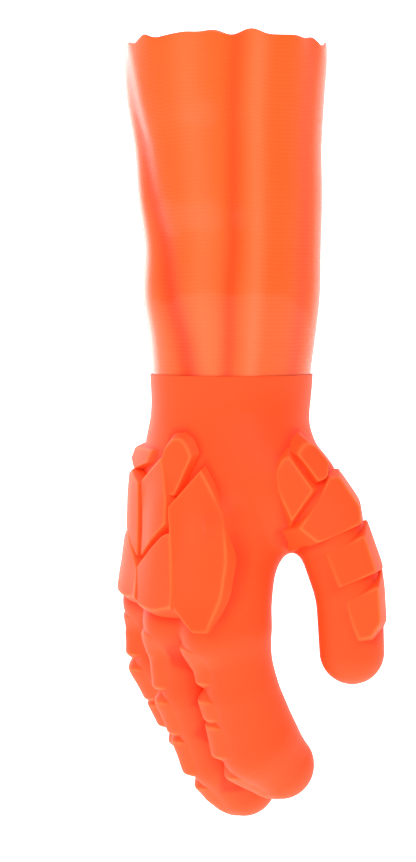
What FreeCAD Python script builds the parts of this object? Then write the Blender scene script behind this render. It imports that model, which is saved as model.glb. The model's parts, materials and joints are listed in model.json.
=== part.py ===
"""Insulated gauntlet glove for the right hand, with raised impact pads.

The glove hangs by its cuff with the fingers down. The origin is the centre of the cuff opening,
+Z is up, +X is the palm side and -Y is the thumb side. Millimetres.

The dipped coat and the liner under it are skins that flex in the grooves between the pads. Each
stretch between two grooves is a shell of its own, which carries a round neck at its upper end. The
neck turns about the flex line inside the mouth of the shell above it.
"""

import FreeCAD, Part
import math
import os
import re

import Sketcher

from FreeCAD import Placement, Rotation, Vector

doc = FreeCAD.newDocument("impact_gauntlet_glove")
sheet = doc.addObject("Spreadsheet::Sheet", "sizes")
subparts = []

FINGERS = ("index", "middle", "ring", "little")
STRETCHES = ("proximal", "middle", "distal")
THUMB_STRETCHES = ("base", "proximal", "distal")

DRIVING = {
    # gauntlet sleeve, from the cuff opening down to the wrist
    "cuff_radius": 45.0,
    "waist_radius": 39.5,
    "wrist_radius": 36.5,
    "waist_depth": 85.0,
    "coat_line_depth": 141.5,
    "sleeve_wall": 1.2,
    "lining_wall": 1.6,
    "lining_gap": 0.1,
    # dipped coat and liner
    "coat_wall": 1.2,
    "liner_wall": 1.6,
    "clearance": 0.4,
    # wrist flex line
    "wrist_depth": 157.5,
    "wrist_gap": 9.1,
    "wrist_opening": 22.0,
    # palm: ellipses at the heel of the hand and above the knuckles
    "heel_depth": 196.0,
    "heel_offset": 6.0,
    "heel_half_thickness": 26.0,
    "heel_half_breadth": 50.0,
    "knuckle_depth": 228.0,
    "knuckle_offset": 17.0,
    "knuckle_half_thickness": 21.0,
    "knuckle_half_breadth": 60.0,
    "knuckle_slope": 13.0,
    "ulnar_shift": 3.0,
    "metacarpal_lean": -12.0,
    "socket_length": 27.0,
    "thumb_socket_length": 12.0,
    "thumb_room": 2.5,
    "thumb_turn": 20.0,
    "thenar_radius": 21.0,
    # fingers and thumb
    "finger_radius": 13.7,
    "little_radius": 12.9,
    "thumb_radius": 14.0,
    "tip_taper": 0.6,
    "finger_flex": 60.0,
    "finger_back_flex": 12.0,
    "flex_spare": 2.0,
    # how far from the axis of a stretch the mouth of its neck is, in degrees
    "neck_mouth_palm": 35.0,
    "neck_mouth_back": 75.0,
    # raised pads
    "pad_rise": 5.0,
    "pad_chamfer": 1.2,
    "pad_spread": 84.0,
    "pad_inset": 3.5,
    "pad_block_length": 80.0,
    # how far from the middle of the hand the pads of the back and of the thumb's root begin
    "back_pad_start": 20.0,
    "thumb_pad_start": 38.0,
}

# Root of each finger, the length of its three stretches (the last one to the centre of the round
# tip) and how far each stretch leans to the palm, in degrees.
FINGER_SIZES = {
    "index": ((-21.0, -38.0, -249.0), (26.0, 25.0, 16.0), (12.0, 20.0, 44.0)),
    "middle": ((-25.0, -10.0, -249.0), (29.5, 34.0, 18.0), (9.5, 22.0, 37.0)),
    "ring": ((-22.5, 18.0, -243.5), (25.0, 33.0, 18.0), (7.5, 28.0, 39.0)),
    "little": ((-9.5, 45.0, -232.5), (24.0, 25.0, 16.0), (16.0, 31.0, 39.0)),
}
# The thumb's root, its two flex lines and the centre of its round tip.
THUMB_POINTS = (
    (9.0, -45.0, -190.0),
    (16.0, -60.0, -208.5),
    (20.5, -67.0, -231.0),
    (22.0, -69.0, -255.5),
)
THUMB_PULP = Vector(-0.2, 0.98, 0.0)
# Outlines of the raised pads on the back of the hand, as (y, z) seen from behind it.
BACK_PADS = {
    "index_knuckle_pad": (
        (-30, -181), (-42, -201), (-47, -222), (-46, -243), (-39, -245), (-22, -238), (-13.5, -200),
    ),
    "thumb_side_wrist_pad": (
        (-11, -176), (-16, -169), (-24, -169), (-27.5, -176), (-17, -193), (-12, -193),
    ),
    "middle_back_pad": ((12, -187), (-8, -178.5), (-10, -196), (-9, -205), (5.5, -218)),
    "middle_knuckle_pad": (
        (4, -225), (-8, -210), (-12.5, -210), (-20, -238), (-6, -243), (5, -239.5),
    ),
    "ring_back_pad": ((15, -188.5), (25, -184), (28, -208), (9, -221)),
    "ring_knuckle_pad": ((9, -226), (28, -212.5), (34, -212), (33, -231), (13, -237)),
    "little_side_wrist_pad": ((4, -172), (20, -172), (24, -180), (13, -184)),
    "little_knuckle_pad": (
        (29, -186), (36, -186), (45, -202), (50, -214), (39, -216.5), (36, -208), (32, -206),
    ),
}
# Outlines of the two pads on the root of the thumb, as (x, z) seen from the thumb side.
THUMB_ROOT_PADS = {
    "thumb_root_front_pad": ((2.5, -175), (8, -172), (14, -172), (17, -177), (12.5, -183), (8, -184)),
    "thumb_root_back_pad": ((-2, -176), (5, -187), (-1, -197), (-12, -190), (-9, -179)),
}
# The middle of the ball of the thumb.
THENAR = (3.0, -33.0, -190.0)
# How far a cutting tool runs past the solid that it cuts.
OVERSHOOT = 1.0


# ---------------------------------------------------------------- sheet and small helpers
def fill_sheet():
    """Put each driving size in a cell of its own, under its name."""
    for row, (name, value) in enumerate(DRIVING.items(), start=1):
        sheet.set(f"A{row}", name)
        sheet.set(f"B{row}", str(value))
        sheet.setAlias(f"B{row}", name)
    doc.recompute()


def size(name):
    return float(sheet.get(name))


def cell(name):
    return f"sizes.{name}"


def value_of(expression):
    """The value of a sum or difference of numbers and sheet sizes."""
    total = 0.0
    for sign, word in re.findall(r"([+-]?)\s*([\w.]+)", expression):
        number = float(word) if word[0].isdigit() else size(word.replace("sizes.", ""))
        total += -number if sign == "-" else number
    return total


def add(kind, name, sizes=None, placement=None):
    """A document object whose sizes are bound to expressions over the sheet."""
    made = doc.addObject(kind, name)
    for prop, expression in (sizes or {}).items():
        made.setExpression(prop, expression)
    if placement:
        made.Placement = placement
    return made


def at(x, y, z):
    return Placement(Vector(x, y, z), Rotation())


def tube(name, radius, top, bottom, end_radius=None):
    """A round bar along Z from top down to bottom, tapered if it has an end radius."""
    height = f"{top - bottom}"
    if end_radius is None:
        return add("Part::Cylinder", name, {"Radius": radius, "Height": height}, at(0, 0, bottom))
    ends = {"Radius1": end_radius, "Radius2": radius, "Height": height}
    return add("Part::Cone", name, ends, at(0, 0, bottom))


def ball(name, radius, z=0.0):
    return add("Part::Sphere", name, {"Radius": radius}, at(0, 0, z))


def round_end(name, radius, z):
    """The lower half of a ball."""
    made = ball(name, radius, z)
    made.Angle2 = 0
    return made


def cut(name, base, tool, placement=None):
    made = add("Part::Cut", name, placement=placement)
    made.Base, made.Tool = base, tool
    return made


def join(name, shapes):
    made = add("Part::MultiFuse", name)
    made.Shapes = shapes
    return made


def overlap(name, shapes):
    made = add("Part::MultiCommon", name)
    made.Shapes = shapes
    return made


def half_space(name, height, slope, upward, frame=None):
    """A large block above (or below) the plane z = height + slope * x of a frame."""
    side, tall = 70.0, 60.0
    turn = Rotation(Vector(0, 1, 0), -math.degrees(math.atan(slope)))
    corner = turn.multVec(Vector(-side / 2, -side / 2, 0.0 if upward else -tall))
    block = Placement(Vector(0, 0, height) + corner, turn)
    sides = {"Length": f"{side}", "Width": f"{side}", "Height": f"{tall}"}
    return add("Part::Box", name, sides, (frame or Placement()).multiply(block))


def subpart(made, label):
    """Keep this object as a piece of the glove, written under its label."""
    made.Label = label
    subparts.append(made)
    return made


# ---------------------------------------------------------------- flex joints
class Flex:
    """The wedge of free space about a flex line, in the frame of the shell that turns."""

    def __init__(self, radius, flex, back_flex):
        spare = size("flex_spare")
        self.palm = radius * math.tan(math.radians(flex + spare) / 2)
        self.back = radius * math.tan(math.radians(back_flex + spare) / 2)
        self.height = (self.palm + self.back) / 2
        self.slope = (self.palm - self.back) / (2 * radius)

    def shoulder(self, name):
        """What to take off the turning shell above its shoulder."""
        return half_space(name, -self.height, -self.slope, True)

    def mouth(self, name, frame, inset=0.0):
        """What to take off the shell above, below its mouth or a little inside it."""
        return half_space(name, self.height + inset, self.slope, False, frame)


def neck_opening(name, radius):
    """What to take off the top of a round neck, so that a finger can pass through it."""
    palm, back = math.radians(size("neck_mouth_palm")), math.radians(size("neck_mouth_back"))
    x1, z1 = radius * math.sin(palm), radius * math.cos(palm)
    x2, z2 = -radius * math.sin(back), radius * math.cos(back)
    slope = (z1 - z2) / (x1 - x2)
    return half_space(name, z1 - slope * x1, slope, True)


def stretch(name, label, radius, length, flex, frame, last, mouth_of=None):
    """Coat and liner of one stretch of a finger, from its neck down to its mouth or its tip.

    radius is an expression, frame places the stretch, and mouth_of is (Flex, frame) of the next one.
    """
    outside = value_of(radius)
    neck = f"{radius} - {cell('coat_wall')} - {cell('clearance')}"
    neck_inside = f"{neck} - {cell('coat_wall')}"
    bore = f"{radius} - {cell('coat_wall')}"
    collar = flex.palm + size("coat_wall")
    end = -length if last else -length - outside

    opening = neck_opening(f"{name}_opening", value_of(neck))
    ring = cut(f"{name}_neck_ring", ball(f"{name}_neck", neck), opening)
    if last:
        tip = f"{radius} - {cell('tip_taper')}"
        bar = tube(f"{name}_bar", radius, 0.0, end, tip)
        outer_shapes = [bar, round_end(f"{name}_tip", tip, end)]
        bore_tip = f"{tip} - {cell('coat_wall')}"
        bore_shapes = [
            tube(f"{name}_bore", bore, -collar, end, bore_tip),
            round_end(f"{name}_bore_tip", bore_tip, end),
        ]
    else:
        outer_shapes = [tube(f"{name}_bar", radius, 0.0, end)]
        bore_shapes = [tube(f"{name}_bore", bore, -collar, end)]
    body = outer_shapes[0] if len(outer_shapes) == 1 else join(f"{name}_solid", outer_shapes)
    trimmed = cut(f"{name}_shoulder_cut", body, flex.shoulder(f"{name}_shoulder"))
    whole = join(f"{name}_outside", [ring, trimmed])
    throat = tube(f"{name}_throat", neck_inside, 0.0, -collar)
    hollow = join(f"{name}_hollow", [ball(f"{name}_neck_bore", neck_inside), throat] + bore_shapes)
    shell = cut(f"{name}_shell", whole, hollow)

    lining = bore_shapes[0] if len(bore_shapes) == 1 else join(f"{name}_liner_solid", bore_shapes)
    liner_bore = f"{bore} - {cell('liner_wall')}"
    if last:
        inner_tip = f"{tip} - {cell('coat_wall')} - {cell('liner_wall')}"
        inner_bar = tube(f"{name}_liner_bore", liner_bore, -collar, end, inner_tip)
        inside = join(f"{name}_liner_hollow", [inner_bar, round_end(f"{name}_liner_tip", inner_tip, end)])
    else:
        inside = tube(f"{name}_liner_bore", liner_bore, -collar, end)
    liner = cut(f"{name}_liner_tube", lining, inside)

    if mouth_of:
        next_flex, next_frame = mouth_of
        seen = frame.inverse().multiply(next_frame)
        shell = cut(f"{name}_coat", shell, next_flex.mouth(f"{name}_mouth", seen))
        below = half_space(f"{name}_below", next_flex.palm + 1.0, 0.0, False, seen)
        liner = cut(f"{name}_liner", liner, below)
    shell.Placement = frame
    liner.Placement = frame
    subpart(shell, f"{label}_coat")
    subpart(liner, f"{label}_liner")


def finger_pads(name, label, radius, spans, frame):
    """Raised pads over the back of a stretch, one for each (top, bottom) span, as one group."""
    solids = []
    for number, (top, bottom) in enumerate(spans, start=1):
        piece = f"{name}_pad_{number}"
        block = tube(f"{piece}_block", f"{radius} + {cell('pad_rise')}", top, bottom)
        block.setExpression("Angle", cell("pad_spread"))
        half = size("pad_spread") / 2
        block.Placement = Placement(Vector(0, 0, bottom), Rotation(Vector(0, 0, 1), 180 - half))
        under = tube(f"{piece}_under", radius, top + OVERSHOOT, bottom - OVERSHOOT)
        solids.append(bevelled(piece, cut(f"{piece}_curve", block, under), value_of(radius)))
    whole = solids[0] if len(solids) == 1 else add_group(f"{name}_pads", solids)
    whole.Placement = frame
    subpart(whole, label)


def add_group(name, solids):
    made = add("Part::Compound", name)
    made.Links = solids
    return made


def bevelled(name, solid, radius):
    """Take the sharp outer edges off a pad."""
    doc.recompute()
    edge = size("pad_chamfer")
    outer = []
    for number, e in enumerate(solid.Shape.Edges, start=1):
        points = e.discretize(5)
        if all(math.hypot(p.x, p.y) > radius + size("pad_rise") - 0.01 for p in points):
            outer.append((number, edge, edge))
    made = add("Part::Chamfer", name)
    made.Base = solid
    made.Edges = outer
    return made


# ---------------------------------------------------------------- sketches
def sketch_outline(body, name, plane, points):
    """A closed outline in a plane of the body. Each point is a pair of expressions."""
    drawing = body.newObject("Sketcher::SketchObject", name)
    base = next(f for f in body.Origin.OriginFeatures if f.Role == plane)
    drawing.AttachmentSupport = [(base, "")]
    drawing.MapMode = "FlatFace"
    values = [(value_of(u), value_of(v)) for u, v in points]
    for number, (u, v) in enumerate(values):
        after = values[(number + 1) % len(values)]
        drawing.addGeometry(Part.LineSegment(Vector(u, v, 0), Vector(*after, 0)))
    for number, (u, v) in enumerate(points):
        before = (number - 1) % len(points)
        drawing.addConstraint(Sketcher.Constraint("Coincident", before, 2, number, 1))
        for direction, expression in (("DistanceX", u), ("DistanceY", v)):
            value = value_of(expression)
            index = drawing.addConstraint(Sketcher.Constraint(direction, -1, 1, number, 1, value))
            drawing.setExpression(f"Constraints[{index}]", expression)
    return drawing


def turned(name, points):
    """A ring turned about Z from an outline of (radius, height) pairs of expressions."""
    body = doc.addObject("PartDesign::Body", name)
    drawing = sketch_outline(body, f"{name}_profile", "XZ_Plane", points)
    turn = body.newObject("PartDesign::Revolution", f"{name}_turn")
    turn.Profile = drawing
    turn.ReferenceAxis = (drawing, ["V_Axis"])
    turn.Angle = 360
    body.Tip = turn
    return body


# ---------------------------------------------------------------- gauntlet
def layer_outline(outside, inside, top, bottom):
    """One layer of the sleeve. outside and inside say how far its faces are from the sleeve's face."""
    depths = (top, f"-{cell('waist_depth')}", f"-{cell('coat_line_depth')}", bottom)
    radii = ("cuff_radius", "waist_radius", "wrist_radius", "wrist_radius")
    outer = [(f"{cell(radius)}{outside}", depth) for radius, depth in zip(radii, depths)]
    inner = [(f"{cell(radius)}{inside}", depth) for radius, depth in zip(radii, depths)]
    return outer + inner[::-1]


def make_gauntlet():
    """The sleeve, its lining and the band of coat that laps over the sleeve."""
    bottom = f"{cell('wrist_gap')} - {cell('wrist_depth')}"
    lining_bottom = f"{bottom} + {cell('liner_wall')}"
    face = f" - {cell('sleeve_wall')}"
    lining_face = f"{face} - {cell('lining_wall')}"
    sleeve = turned("gauntlet_sleeve", layer_outline("", face, "0", bottom))
    lining_side = f"{face} - {cell('lining_gap')}"
    lining = turned("gauntlet_lining", layer_outline(lining_side, lining_face, "0", lining_bottom))
    flush = cell("wrist_radius")
    proud = f"{flush} + {cell('coat_wall')}"
    coat_line = f"-{cell('coat_line_depth')}"
    ring = [(proud, coat_line), (proud, bottom), (flush, bottom), (flush, coat_line)]
    band = turned("wrist_coat_band", ring)
    for made in (sleeve, lining, band):
        subpart(made, made.Name)


# ---------------------------------------------------------------- palm and back of the hand
def section(name, depth, offset, half_thickness, half_breadth, slope=0.0):
    """An ellipse across the hand, wider from side to side than from palm to back."""
    centre = Vector(-offset, size("ulnar_shift") if slope else 0.0, -depth)
    turn = Rotation(Vector(1, 0, 0), slope) * Rotation(Vector(0, 0, 1), 90)
    radii = {"MajorRadius": half_breadth, "MinorRadius": half_thickness}
    return add("Part::Ellipse", name, radii, Placement(centre, turn))


def palm_solid(name, outset, thumb, trim=0.0):
    """The body of the hand from the wrist to the knuckles, outset by an expression.

    thumb is the (Flex, frame) of the thumb's root, where the ball of the thumb ends.
    """
    top = size("wrist_depth") + size("wrist_gap") + trim
    wrist = f"{cell('wrist_radius')} + {cell('clearance')} {outset}"
    heel = [f"{cell('heel_half_thickness')} {outset}", f"{cell('heel_half_breadth')} {outset}"]
    knuckle = [f"{cell('knuckle_half_thickness')} {outset}", f"{cell('knuckle_half_breadth')} {outset}"]
    made = add("Part::Loft", f"{name}_loft")
    low, slope = size("knuckle_depth") - trim, size("knuckle_slope")
    made.Sections = [
        section(f"{name}_wrist", top, 0.0, wrist, wrist),
        section(f"{name}_heel", size("heel_depth"), size("heel_offset"), *heel),
        section(f"{name}_knuckles", low, size("knuckle_offset"), *knuckle, slope),
    ]
    made.Solid = True
    thenar = {"Radius": f"{cell('thenar_radius')} {outset}"}
    ball_of_thumb = add("Part::Sphere", f"{name}_thenar", thenar, at(*THENAR))
    flex, frame = thumb
    end = flex.mouth(f"{name}_thenar_end", frame, trim)
    return join(name, [made, cut(f"{name}_thenar_cut", ball_of_thumb, end)])


def socket_bar(name, radius, top, bottom, frame):
    made = tube(name, radius, top, bottom)
    made.Placement = frame.multiply(made.Placement)
    return made


def pocket(name, thumb, radius, inset):
    """The room that the thumb turns in, below the mouth of its socket."""
    flex, frame = thumb
    around = socket_bar(f"{name}_round", radius, size("thumb_radius"), -2 * size("thumb_radius"), frame)
    return overlap(name, [flex.mouth(f"{name}_end", frame, inset), around])


def pad_block(name, outline, outward, start):
    """An upright block on an outline drawn as seen from outside, standing outward from a start."""
    across = outward.cross(Vector(0, 0, -1))
    body = doc.addObject("PartDesign::Body", f"{name}_block")
    corners = [(across.dot(Vector(*corner)), corner[2]) for corner in outline]
    points = [(f"{u:.3f}", f"{v:.3f}") for u, v in corners]
    drawing = sketch_outline(body, f"{name}_outline", "XY_Plane", points)
    block = body.newObject("PartDesign::Pad", f"{name}_depth")
    block.Profile = drawing
    block.setExpression("Length", cell("pad_block_length"))
    body.Tip = block
    body.Placement = Placement(outward * start, Rotation(across, Vector(0, 0, 1), outward, "ZXY"))
    return body


def make_hand_pads(roots, solid):
    """The pads of the back of the hand and of the thumb's root: a raised layer cut to outlines."""
    thumb = (roots["thumb"][0], roots["thumb"][2])
    layers = [palm_solid("pad_layer", f"+ {cell('pad_rise')}", thumb)]
    for digit, (flex, radius, frame) in roots.items():
        root = frame if digit == "thumb" else lean_frame(tuple(frame.Base), size("metacarpal_lean"))
        raised = f"{radius} + {cell('pad_rise')}"
        length = size("thumb_socket_length") if digit == "thumb" else size("socket_length")
        bar = socket_bar(f"{digit}_pad_bar", raised, length, -value_of(radius), root)
        layers.append(cut(f"{digit}_pad_layer", bar, flex.mouth(f"{digit}_pad_end", frame)))
    below = flex.mouth("thumb_pad_room", thumb[1], size("pad_inset"))
    layer = cut("pad_layer_trimmed", join("pad_layers", layers), solid)
    for outlines, outward, start, spread in (
        (BACK_PADS, Vector(-1, 0, 0), size("back_pad_start"), lambda y, z: (0, y, z)),
        (THUMB_ROOT_PADS, Vector(0, -1, 0), size("thumb_pad_start"), lambda x, z: (x, 0, z)),
    ):
        for name, outline in outlines.items():
            block = pad_block(name, [spread(*corner) for corner in outline], outward, start)
            if outlines is THUMB_ROOT_PADS:
                block = cut(f"{name}_end", block, below)
            subpart(overlap(name, [block, layer]), name)


def make_hand(roots):
    """The hand coat with its five sockets, and the liner inside it."""
    wall = size("coat_wall")
    neck = f"{cell('wrist_radius')} - {cell('sleeve_wall')} - {cell('clearance')}"
    wrist = at(0, 0, -size("wrist_depth"))
    neck_ball = add("Part::Sphere", "hand_neck_ball", {"Radius": neck}, wrist)
    neck_bore = add("Part::Sphere", "hand_neck_bore", {"Radius": f"{neck} - {cell('coat_wall')}"}, wrist)
    opening = half_space("hand_neck_opening", size("wrist_opening"), 0.0, True, wrist)
    ring = cut("hand_neck_ring", neck_ball, opening)
    thumb = (roots["thumb"][0], roots["thumb"][2])
    outside = [ring, palm_solid("palm_outside", "", thumb)]
    hollow = [neck_bore, palm_solid("palm_inside", f"- {cell('coat_wall')}", thumb, wall)]
    bores = []
    for digit, (flex, radius, frame) in roots.items():
        root, length = frame, size("thumb_socket_length")
        if digit != "thumb":
            root = lean_frame(tuple(frame.Base), size("metacarpal_lean"))
            length = size("socket_length")
        reach = value_of(radius)
        bar = socket_bar(f"{digit}_socket_bar", radius, length, -reach, root)
        outside.append(cut(f"{digit}_socket", bar, flex.mouth(f"{digit}_mouth", frame)))
        bore = f"{radius} - {cell('coat_wall')}"
        bores.append(socket_bar(f"{digit}_socket_bore", bore, length - wall, -2 * reach, root))
    room = f"{cell('thumb_radius')} + {cell('thumb_room')}"
    solid = cut("hand_solid", join("hand_outside", outside), pocket("thumb_pocket", thumb, room, 0.0))
    walled = f"{room} + {cell('coat_wall')}"
    pocket_wall = pocket("thumb_pocket_wall", thumb, walled, wall)
    open_hollow = cut("hand_open_hollow", join("hand_hollow", hollow), pocket_wall)
    coat = cut("hand_coat", solid, join("hand_inside", [open_hollow] + bores))
    subpart(coat, "hand_coat")
    inside = palm_solid("liner_inside", f"- {cell('coat_wall')} - {cell('liner_wall')}", thumb, wall)
    against_coat = palm_solid("liner_outside", f"- {cell('coat_wall')}", thumb, wall)
    lined = cut("liner_wall_shape", against_coat, inside)
    keep_clear = [pocket("thumb_pocket_liner", thumb, walled, wall)] + bores
    subpart(cut("hand_liner", lined, join("liner_openings", keep_clear)), "hand_liner")
    return solid


# ---------------------------------------------------------------- fingers
def lean_frame(point, lean):
    """A frame at a point whose -Z leans towards the palm."""
    return Placement(Vector(*point), Rotation(Vector(0, 1, 0), -lean))


def finger_frames(finger):
    """The frames of a finger's three stretches, each at its own flex line."""
    root, lengths, leans = FINGER_SIZES[finger]
    point, frames = Vector(*root), []
    for length, lean in zip(lengths, leans):
        frame = lean_frame(point, lean)
        frames.append(frame)
        point = frame.multVec(Vector(0, 0, -length))
    return frames


def thumb_frames():
    """The frames of the thumb's stretches, with +X towards the pad of the thumb."""
    points = [Vector(*p) for p in THUMB_POINTS]
    frames = []
    for start, end in zip(points, points[1:]):
        up = (start - end).normalize()
        pulp = THUMB_PULP - up * THUMB_PULP.dot(up)
        frames.append(Placement(start, Rotation(pulp, up.cross(pulp), up, "ZXY")))
    return frames


def pad_spans(stretch_index, length):
    """Where the pads of a stretch start and end along it."""
    inset = size("pad_inset")
    low = -length + inset
    if stretch_index == 1:
        middle, gap = (low - inset) / 2, inset / 2
        return [(-inset, middle + gap), (middle - gap, low)]
    return [(-inset, low if stretch_index == 0 else -length)]


def make_digit(digit, names, radius, frames, lengths):
    """The stretches of one digit. Returns the flex at its root."""
    usual = Flex(value_of(radius), size("finger_flex"), size("finger_back_flex"))
    root = Flex(value_of(radius), size("thumb_turn"), size("thumb_turn")) if digit == "thumb" else usual
    for number, (stretch_name, frame, length) in enumerate(zip(names, frames, lengths)):
        last = number == len(names) - 1
        following = None if last else (usual, frames[number + 1])
        label = f"{digit}_{stretch_name}"
        stretch(label, label, radius, length, usual if number else root, frame, last, following)
        spans = pad_spans(number, length)
        if digit == "thumb":
            spans = [(spans[0][0], spans[-1][1])]
        plural = "pads" if len(spans) > 1 else "pad"
        finger_pads(label, f"{label}_{plural}", radius, spans, frame)
    return root


def make_digits():
    """All five digits. Returns each one's flex, radius and root frame."""
    roots = {}
    for finger in FINGERS:
        radius = cell("little_radius" if finger == "little" else "finger_radius")
        frames = finger_frames(finger)
        flex = make_digit(finger, STRETCHES, radius, frames, FINGER_SIZES[finger][1])
        roots[finger] = (flex, radius, frames[0])
    points = [Vector(*p) for p in THUMB_POINTS]
    lengths = [start.distanceToPoint(end) for start, end in zip(points, points[1:])]
    frames = thumb_frames()
    flex = make_digit("thumb", THUMB_STRETCHES, cell("thumb_radius"), frames, lengths)
    roots["thumb"] = (flex, cell("thumb_radius"), frames[0])
    return roots


def write_parts():
    doc.recompute()
    os.makedirs("parts", exist_ok=True)
    for made in doc.Objects:
        if "Invalid" in made.State or "Error" in made.State:
            raise RuntimeError(f"{made.Name} failed: {made.State}")
    for made in subparts:
        if made.Shape.isNull() or not made.Shape.isValid():
            raise RuntimeError(f"{made.Label} has no valid shape")
        made.Shape.exportStep(os.path.join("parts", f"{made.Label}.step"))
        print(f"{made.Label}: {len(made.Shape.Solids)} solid, {made.Shape.Volume:.0f} mm3")


fill_sheet()
make_gauntlet()
digit_roots = make_digits()
make_hand_pads(digit_roots, make_hand(digit_roots))
write_parts()
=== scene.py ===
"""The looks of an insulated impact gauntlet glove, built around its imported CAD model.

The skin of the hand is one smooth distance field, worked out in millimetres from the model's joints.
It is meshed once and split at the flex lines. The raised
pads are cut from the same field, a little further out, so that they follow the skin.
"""

import json
import math

import bmesh
import bpy
import numpy as np
import openvdb
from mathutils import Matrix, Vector


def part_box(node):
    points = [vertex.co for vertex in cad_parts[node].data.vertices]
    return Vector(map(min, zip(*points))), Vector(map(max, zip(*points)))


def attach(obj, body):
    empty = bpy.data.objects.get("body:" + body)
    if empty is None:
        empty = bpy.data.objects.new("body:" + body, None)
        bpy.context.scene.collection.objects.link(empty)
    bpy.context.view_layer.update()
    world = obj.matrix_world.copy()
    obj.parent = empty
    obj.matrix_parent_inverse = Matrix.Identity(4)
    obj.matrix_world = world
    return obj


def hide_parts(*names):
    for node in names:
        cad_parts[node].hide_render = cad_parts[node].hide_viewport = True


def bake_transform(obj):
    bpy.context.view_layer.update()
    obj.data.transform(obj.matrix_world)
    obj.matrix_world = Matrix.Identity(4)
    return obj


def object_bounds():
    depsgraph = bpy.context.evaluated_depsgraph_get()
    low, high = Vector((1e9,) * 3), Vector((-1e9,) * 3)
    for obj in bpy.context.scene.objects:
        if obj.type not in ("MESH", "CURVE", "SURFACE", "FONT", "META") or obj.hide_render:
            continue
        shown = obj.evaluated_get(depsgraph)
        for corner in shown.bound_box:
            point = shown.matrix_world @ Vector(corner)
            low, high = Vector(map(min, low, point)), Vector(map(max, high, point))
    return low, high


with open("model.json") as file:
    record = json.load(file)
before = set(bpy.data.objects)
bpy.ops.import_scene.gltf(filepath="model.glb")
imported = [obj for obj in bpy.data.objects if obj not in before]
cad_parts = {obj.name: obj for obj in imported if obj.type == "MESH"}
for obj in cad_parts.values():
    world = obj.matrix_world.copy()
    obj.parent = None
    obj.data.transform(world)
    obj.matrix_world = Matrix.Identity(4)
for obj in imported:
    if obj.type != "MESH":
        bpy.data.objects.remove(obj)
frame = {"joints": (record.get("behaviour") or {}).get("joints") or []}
cad_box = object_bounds()

MM = 0.001
FINGERS = ("index", "middle", "ring", "little")
STRETCHES = {
    "thumb": ("base", "proximal", "distal"),
    **{finger: ("proximal", "middle", "distal") for finger in FINGERS},
}


def millimetres(point):
    return np.array(point, dtype=np.float64) / MM


def unit(v):
    v = np.asarray(v, dtype=np.float64)
    return v / np.linalg.norm(v)


# ---------------------------------------------------------------- what the frame says
HINGES = {joint["child"]: millimetres(joint["pos_m"]) for joint in frame["joints"]}
TIP_RADIUS = 13.1


def tip_of(digit):
    """The centre of the round tip, from the box of the digit's last coat."""
    low, high = (millimetres(corner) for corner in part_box(f"{digit}_distal_coat"))
    if digit == "thumb":
        return np.array([(low[0] + high[0]) / 2, (low[1] + high[1]) / 2, low[2] + TIP_RADIUS])
    return np.array([high[0] - TIP_RADIUS, (low[1] + high[1]) / 2, low[2] + TIP_RADIUS])


CHAINS = {
    digit: [HINGES[f"{digit}_{stretch}"] for stretch in stretches] + [tip_of(digit)]
    for digit, stretches in STRETCHES.items()
}
COAT_LINE = millimetres(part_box("wrist_coat_band")[1])[2]

# ---------------------------------------------------------------- fields of distance, in mm
# The hand from the wrist down: depth, offset of the middle to the palm, shift to the little
# finger, half thickness and half breadth.
PALM_SECTIONS = np.array(
    [
        (-120.0, 1.0, -0.5, 36.3, 36.3),
        (-141.5, 1.0, -0.5, 36.0, 36.0),
        (-158.0, 0.5, -0.2, 35.0, 35.6),
        (-172.0, -1.5, 1.5, 33.5, 40.5),
        (-184.0, -4.5, 2.5, 30.5, 45.5),
        (-196.0, -7.5, 2.5, 27.0, 49.0),
        (-212.0, -12.0, 3.0, 23.5, 52.0),
        (-228.0, -17.0, 3.5, 21.0, 54.0),
        (-245.0, -20.5, 3.5, 19.0, 54.0),
        (-262.0, -22.0, 3.5, 17.5, 53.0),
    ]
)
# How square the palm's sections are at the knuckles, and how much less at the wrist.
PALM_SQUARENESS, WRIST_LOSS = 2.3, 0.3
# The web between the fingers: its height along Y.
WEB_Y = (-60.0, -24.0, 4.0, 32.0, 60.0)
WEB_Z = (-250.0, -252.0, -248.0, -240.0, -232.0)
WEB_ROUND = 9.0
# The back of the hand arches: its sides lie nearer to the palm than its middle. The arch starts at
# one height and is whole some way below it.
ARCH_TOP, ARCH_GROWTH = -170.0, 65.0
ARCH_MIDDLE = -8.0
ARCH_HALF_BREADTH = 53.0
ARCH_RISE = {"little": 13.0, "index": 6.0}
# Fingers: half breadth, half depths from the knuckle to the tip, and how far they lie to the palm.
FINGER_SHAPES = {
    "index": (12.9, (9.0, 15.0, 15.6, 17.6, 14.4), 1.4),
    "middle": (12.9, (9.0, 15.2, 16.2, 15.8, 14.6), -0.6),
    "ring": (12.9, (9.0, 14.6, 16.2, 16.2, 14.0), -1.0),
    "little": (12.3, (8.0, 13.8, 14.2, 14.0, 13.0), 0.6),
}
# From a finger's root: where its bar starts inside the palm, and the middle of its knuckle.
METACARPAL = np.array([-3.0, 0.0, 45.0])
FINGER_FILLET = 12.0
KNUCKLE = np.array([-7.5, 0.0, -0.5])
KNUCKLE_RADIUS = 12.0
KNUCKLE_FILLET = 4.0
THUMB_RADII = (17.5, 14.6, 14.0, 13.5)
THUMB_FILLET = 9.0
CHAIN_FILLET = 1.5
# The ball of the thumb.
THENAR = np.array([5.0, -32.0, -188.0])
THENAR_RADIUS = 21.0
THENAR_FILLET = 22.0
# How far the field is kept on both sides of a surface before meshing.
BAND = 3.0


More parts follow.
